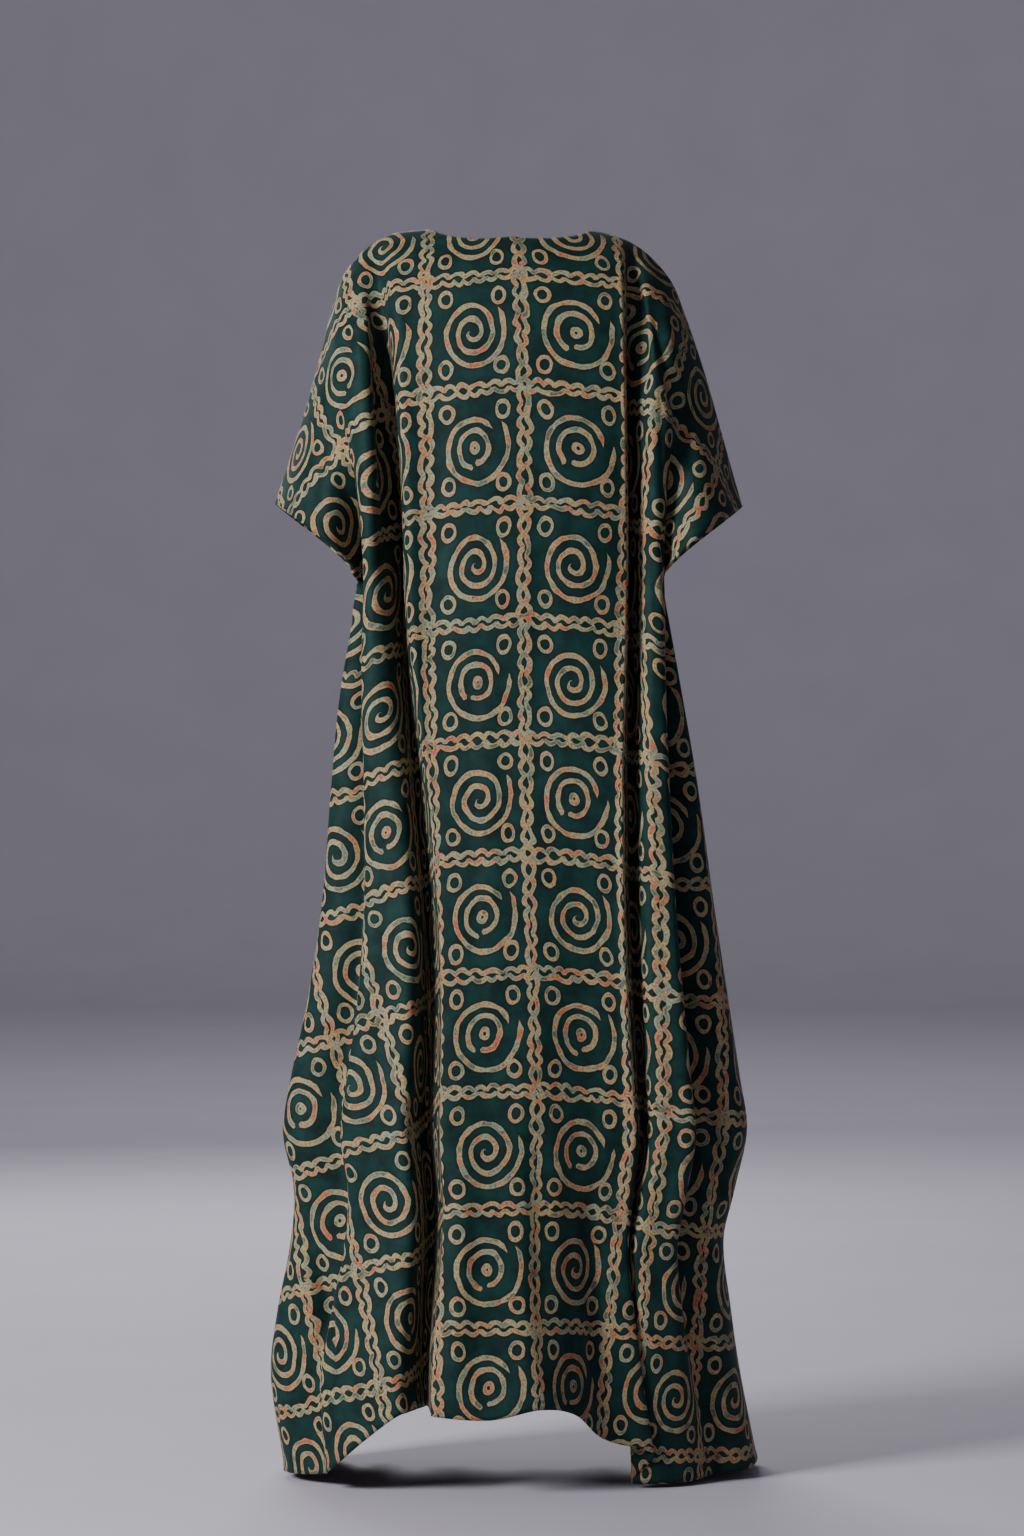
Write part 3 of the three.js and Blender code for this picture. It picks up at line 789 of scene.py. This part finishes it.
# Dye in the lines: patches of beige, brown, pink and green, speckled where the wax cracked.
patch_place = add(tree, "TexVoronoi", named={"Vector": drawn, "Scale": 1 / 10}, voronoi_dimensions="2D")
patch_chance = add(tree, "SeparateColor", patch_place.outputs["Color"]).outputs["Red"]
patches = add(
    tree, "ValToRGB", patch_chance,
    stops=[
        (0.0, "#2F4A42"), (0.1, "#556E62"), (0.26, "#83907A"), (0.42, "#9C8B68"), (0.66, "#A18C64"),
        (0.82, "#A57655"), (1.0, "#AE5740"),
    ],
)
soft_patches_noise = add(
    tree, "TexNoise", named={"Vector": cloth_mm, "Scale": 1 / 34, "Detail": 2.0}, noise_dimensions="2D",
)
soft_patches = add(
    tree, "ValToRGB", soft_patches_noise,
    stops=[(0.36, "#B07A56"), (0.5, "#A3916A"), (0.64, "#8A9373")],
)
dyed = add(tree, "Mix", named={0: 0.22, 6: patches, 7: soft_patches}, data_type="RGBA").outputs[2]
speckles_noise = add(
    tree, "TexNoise", named={"Vector": cloth_mm, "Scale": 1 / 2.8, "Detail": 2.0, "Roughness": 0.7},
    noise_dimensions="2D",
)
speckles = add(tree, "MapRange", speckles_noise, 0.36, 0.6, 0.55, 1.1)
speckled = add(
    tree, "Mix", named={0: 1.0, 6: dyed, 7: speckles}, data_type="RGBA", blend_type="MULTIPLY",
).outputs[2]
# The wax held best along a line's edges, which stay pale.
inside = add(tree, "MapRange", edge, -1.6, -0.7, 0.0, 0.45)
line_colour = add(
    tree, "Mix", named={0: inside, 6: speckled, 7: colour("#AE9C76")}, data_type="RGBA",
).outputs[2]

ground_noise = add(
    tree, "TexNoise", named={"Vector": cloth_mm, "Scale": 1 / 32, "Detail": 3.0, "Roughness": 0.6},
    noise_dimensions="2D",
)
ground = add(tree, "ValToRGB", ground_noise, stops=[(0.3, "#06201E"), (0.7, "#0F3431")])
beside = add(tree, "MapRange", edge, 0.4, 3.2, 0.45, 1.0)
ground_colour = add(
    tree, "Mix", named={0: 1.0, 6: ground, 7: beside}, data_type="RGBA", blend_type="MULTIPLY",
).outputs[2]

# The line's edge is a little soft, as wax lets some dye creep under it.
printed = add(tree, "MapRange", edge, 0.5, -0.5, 0.0, 1.0)
face_colour = add(
    tree, "Mix", named={0: printed, 6: ground_colour, 7: line_colour}, data_type="RGBA",
).outputs[2]

# The cloth's unevenness, not its single threads: blotches 1.3 mm across, coarser than real threads
# of about 0.35 mm, so that they show.
weave = add(
    tree, "TexNoise", named={"Vector": cloth_mm, "Scale": 1 / 1.3, "Detail": 2.0},
    noise_dimensions="2D",
)
bump = add(tree, "Bump", named={"Strength": 0.15, "Distance": 0.0005, "Height": weave})
cotton = add(tree, "BsdfPrincipled", named={
    "Base Color": face_colour,
    "Roughness": 0.7,
    "Specular IOR Level": 0.16,
    "Sheen Weight": 0.04,
    "Sheen Roughness": 0.4,
    "Normal": bump,
})
add(tree, "OutputMaterial", cotton)

back_panel, back_places = hang_panel("batik_back_panel", BACK_FOLDS, BACK_CREASES, 1, batik)
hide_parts("back_panel")
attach(back_panel, "root")

# ---------------------------------------------------------------------------
# Stitches of the back panel: cotton sewing thread in one row along each edge
# that is turned in, round the hem, the neck and the sleeve ends.
# ---------------------------------------------------------------------------

# Cotton sewing thread: three plies twisted together, dyed to match, with a soft low gloss.
STITCH_PITCH = 3.4
STITCH_LENGTH = 2.5
THREAD_WIDTH = 0.5
PLY_WAVES = 900.0  # plies 0.4 mm apart

thread, tree = new_material("cotton sewing thread")
thread_place = add(tree, "TexCoord").outputs["Object"]
ply_place = {"Vector": thread_place, "Scale": PLY_WAVES, "Distortion": 0.5}
plies = add(tree, "TexWave", named=ply_place, bands_direction="DIAGONAL")
ply_bump = add(tree, "Bump", named={"Strength": 0.3, "Distance": 0.0001, "Height": plies.outputs["Fac"]})
# The thread's dye colour with painted shade: it is darker in the grooves between the plies, where the ply
# wave that makes the bump is low.
thread_dye_and_ply_shade = add(tree, "ValToRGB", plies.outputs["Fac"], stops=[(0.0, "#14302B"), (1.0, "#23463F")])
sewn = add(tree, "BsdfPrincipled", named={"Base Color": thread_dye_and_ply_shade, "Roughness": 0.6, "Normal": ply_bump})
add(tree, "OutputMaterial", sewn)


def sew(name, lines):
    """Small stitches that lie on the cloth along each line of places, all as one piece."""
    bm = bmesh.new()
    for line in lines:
        gaps = np.linalg.norm(np.diff(line, axis=0), axis=1)
        reached = np.concatenate([[0], np.cumsum(gaps)])
        for n in range(1, int(reached[-1] / STITCH_PITCH)):
            ends = [[np.interp(n * STITCH_PITCH + k, reached, line[:, axis]) for axis in range(3)]
                    for k in (-0.5, 0.5)]
            start, end = Vector(ends[0]), Vector(ends[1])
            turn = (end - start).to_track_quat("X", "Z").to_matrix().to_4x4()
            bead = bmesh.ops.create_icosphere(bm, subdivisions=1, radius=0.5)["verts"]
            bmesh.ops.scale(bm, verts=bead, vec=(STITCH_LENGTH * MM, THREAD_WIDTH * MM, THREAD_WIDTH * MM))
            bmesh.ops.transform(bm, verts=bead, matrix=turn)
            bmesh.ops.translate(bm, verts=bead, vec=(start + end) / 2 * MM)
    mesh = bpy.data.meshes.new(name)
    bm.to_mesh(mesh)
    bm.free()
    for polygon in mesh.polygons:
        polygon.use_smooth = True
    mesh.materials.append(thread)
    stitches = bpy.data.objects.new(name, mesh)
    bpy.context.collection.objects.link(stitches)
    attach(stitches, "root")
    return stitches


def hem_lines(places):
    """The rows of stitches of one panel: round its hem, its neck and its sleeve ends."""
    neck = [i for i, strand in enumerate(places) if abs(strand[0][0]) < NECK_HALF_WIDTH]
    return [
        places[:, -2],
        places[neck[0] + 1:neck[-1], 1],
        places[1, 1:UPPER_ROWS],
        places[-2, 1:UPPER_ROWS],
    ]


back_stitches = sew("back_hem_stitches", hem_lines(back_places))


# ---------------------------------------------------------------------------
# Front panel: the same batik cotton, cut to the same shape with a lower neck.
# It is sewn to the back along the shoulders and sleeve tops and down the sides.
# ---------------------------------------------------------------------------

FRONT_FOLDS = [
    ("left side seam", 540, (193, 229, 290, 292), (0, 0, 0, 0, 0), 10),
    ("left side ridge", 450, (190, 222, 278, 282), (0, 4, 6, 8, 8), 10),
    ("left side valley", 370, (185, 206, 252, 258), (-10, -26, -32, -34, -24), 12),
    ("left outer ridge", 310, (177, 192, 228, 234), (12, 14, 12, 14, 16), 20),
    ("left outer valley", 250, (162, 168, 198, 206), (-36, -48, -46, -44, -42), 36),
    ("left middle ridge", 205, (146, 146, 168, 178), (8, 10, 14, 20, 24), 54),
    ("left inner valley", 180, (130, 124, 138, 146), (-14, -30, -38, -48, -50), 66),
    ("left panel lip", 155, (117, 108, 112, 116), (2, 0, 0, -2, -4), 70),
    ("left panel edge", 128, (100, 92, 92, 94), (0, 2, 8, 16, 20), 74),
    ("left panel", 64, (50, 46, 42, 42), (0, 0, 0, -6, -12), 80),
    ("middle", 0, (0, 0, -4, -6), (0, 0, 2, 6, 10), 84),
    ("right panel", -64, (-50, -48, -52, -56), (0, 0, 0, 0, -6), 80),
    ("right panel edge", -128, (-98, -93, -100, -106), (0, 2, 6, 12, 16), 74),
    ("right panel lip", -145, (-112, -108, -118, -126), (2, 2, 2, 0, -2), 68),
    ("right inner valley", -165, (-126, -123, -140, -150), (-16, -34, -42, -52, -54), 62),
    ("right middle ridge", -190, (-144, -148, -172, -184), (8, 10, 14, 18, 20), 50),
    ("right outer valley", -240, (-161, -174, -206, -216), (-38, -46, -44, -42, -42), 34),
    ("right outer ridge", -300, (-174, -198, -238, -252), (12, 14, 12, 12, 14), 20),
    ("right side valley", -370, (-181, -216, -264, -280), (-10, -26, -32, -34, -26), 12),
    ("right side ridge", -450, (-186, -234, -290, -306), (0, 4, 6, 8, 8), 14),
    ("right side seam", -540, (-188, -242, -302, -318), (0, 0, 0, 0, 0), 18),
]

FRONT_CREASES = [
    (15, -11, ((-180, -40), (-166, -105), (-160, -190), (-150, -300), (-148, -400))),
    (14, -9, ((178, -36), (168, -120), (158, -240), (150, -380))),
    (14, -8, ((206, -70), (216, -170), (232, -270))),
    (15, -6, ((-210, -80), (-214, -180), (-226, -250))),
    (10, -4, ((-196, -362), (-208, -450))),
    (10, 3, ((196, -372), (206, -470))),
    (26, -3, ((70, -160), (60, -380), (52, -600))),
    (24, -3, ((-62, -170), (-56, -430), (-58, -680))),
    (22, 3, ((6, -560), (0, -800), (-6, -1040))),
    (26, -7, ((34, -1080), (40, -1260), (48, -1440))),
    (22, 6, ((-70, -1140), (-78, -1300), (-84, -1450))),
    (15, -8, ((232, -1010), (244, -1140), (246, -1270))),
]

front_panel, front_places = hang_panel("batik_front_panel", FRONT_FOLDS, FRONT_CREASES, -1, batik)
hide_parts("front_panel")
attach(front_panel, "root")
front_stitches = sew("front_hem_stitches", hem_lines(front_places))
